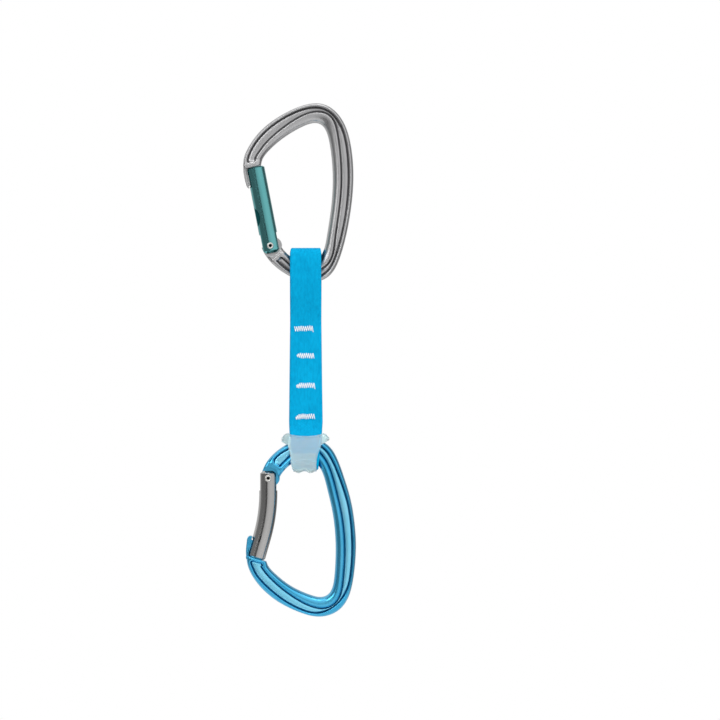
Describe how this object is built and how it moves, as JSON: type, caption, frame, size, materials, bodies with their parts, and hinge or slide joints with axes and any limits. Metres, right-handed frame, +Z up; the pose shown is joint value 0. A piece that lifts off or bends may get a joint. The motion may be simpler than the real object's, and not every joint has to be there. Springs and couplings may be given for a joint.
{
  "type": "climbing quickdraw",
  "caption": "Quickdraw: straight-gate and bent-gate snap carabiners joined by a sewn sling, with a rubber retainer, for clipping a rope to a bolt.",
  "frame": {"origin": "inside top of the upper carabiner, where it hangs from a bolt hanger", "axes": "+Z up the hanging draw, -Y its front, +X towards the carabiners' spines; the carabiners lie in the XZ plane"},
  "size_m": [0.062, 0.0186, 0.2822],
  "materials": {
    "grey_aluminium": "satin anodised",
    "blue_aluminium": "glossy anodised",
    "teal_aluminium": "satin anodised",
    "bare_aluminium": "polished",
    "steel": "plain",
    "webbing": "ribbed weave",
    "white_thread": "sewn",
    "clear_rubber": "translucent"
  },
  "bodies": {
    "upper_frame": {"upper_frame": "grey_aluminium"},
    "upper_gate": {"upper_gate": "teal_aluminium", "upper_gate_rivet": "steel"},
    "upper_pushrod": {"upper_gate_pushrod": "steel", "upper_gate_spring": "steel"},
    "sling_top": {"sling_top_loop": "webbing"},
    "sling_upper": {"sling_upper_run": "webbing", "bar_tack_1": "white_thread", "bar_tack_2": "white_thread"},
    "sling_lower": {"sling_lower_run": "webbing", "bar_tack_3": "white_thread", "bar_tack_4": "white_thread"},
    "sling_bottom": {"sling_bottom_loop": "webbing", "rubber_retainer": "clear_rubber"},
    "lower_frame": {"lower_frame": "blue_aluminium"},
    "lower_gate": {"lower_gate": "bare_aluminium", "lower_gate_rivet": "steel"},
    "lower_pushrod": {"lower_gate_pushrod": "steel", "lower_gate_spring": "steel"}
  },
  "joints": [
    {"name": "upper_gate_hinge", "type": "hinge", "parent": "upper_frame", "child": "upper_gate", "pos_m": [-0.024, 0, -0.0676], "axis": [0, 1, 0], "range_deg": [0, 36], "stiffness_Nm_per_rad": 0.25, "springref_deg": -51.57},
    {"name": "upper_pushrod_slide", "type": "slide", "parent": "upper_gate", "child": "upper_pushrod", "axis": [-0.1908, 0, 0.9816], "range_m": [0, 0.0013], "deforming": ["upper_gate_spring"]},
    {"name": "sling_swing", "type": "hinge", "parent": "upper_frame", "child": "sling_top", "pos_m": [-0.005, 0, -0.065], "axis": [0, 1, 0], "range_deg": [-10, 10]},
    {"name": "sling_top_flex", "type": "hinge", "parent": "sling_top", "child": "sling_upper", "pos_m": [-0.0046, 0, -0.107], "axis": [1, 0, 0], "range_deg": [-30, 30]},
    {"name": "sling_twist", "type": "hinge", "parent": "sling_upper", "child": "sling_lower", "pos_m": [-0.0046, 0, -0.136], "axis": [0, 0, 1], "range_deg": [-60, 60], "stiffness_Nm_per_rad": 0.004},
    {"name": "sling_bottom_flex", "type": "hinge", "parent": "sling_lower", "child": "sling_bottom", "pos_m": [-0.0046, 0, -0.1666], "axis": [1, 0, 0], "range_deg": [-30, 30]},
    {"name": "lower_frame_swing", "type": "hinge", "parent": "sling_bottom", "child": "lower_frame", "pos_m": [-0.0046, 0, -0.1965], "axis": [0, 1, 0], "range_deg": [-8, 8], "stiffness_Nm_per_rad": 0.12},
    {"name": "lower_gate_hinge", "type": "hinge", "parent": "lower_frame", "child": "lower_gate", "pos_m": [-0.0252, 0, -0.1952], "axis": [0, -1, 0], "range_deg": [0, 36], "stiffness_Nm_per_rad": 0.25, "springref_deg": -51.57},
    {"name": "lower_pushrod_slide", "type": "slide", "parent": "lower_gate", "child": "lower_pushrod", "axis": [0, 0, -1], "range_m": [0, 0.0013], "deforming": ["lower_gate_spring"]}
  ],
  "couplings": [
    {"joint": "upper_pushrod_slide", "follows": "upper_gate_hinge", "m_per_rad": 0.00174},
    {"joint": "lower_pushrod_slide", "follows": "lower_gate_hinge", "m_per_rad": 0.00174}
  ]
}
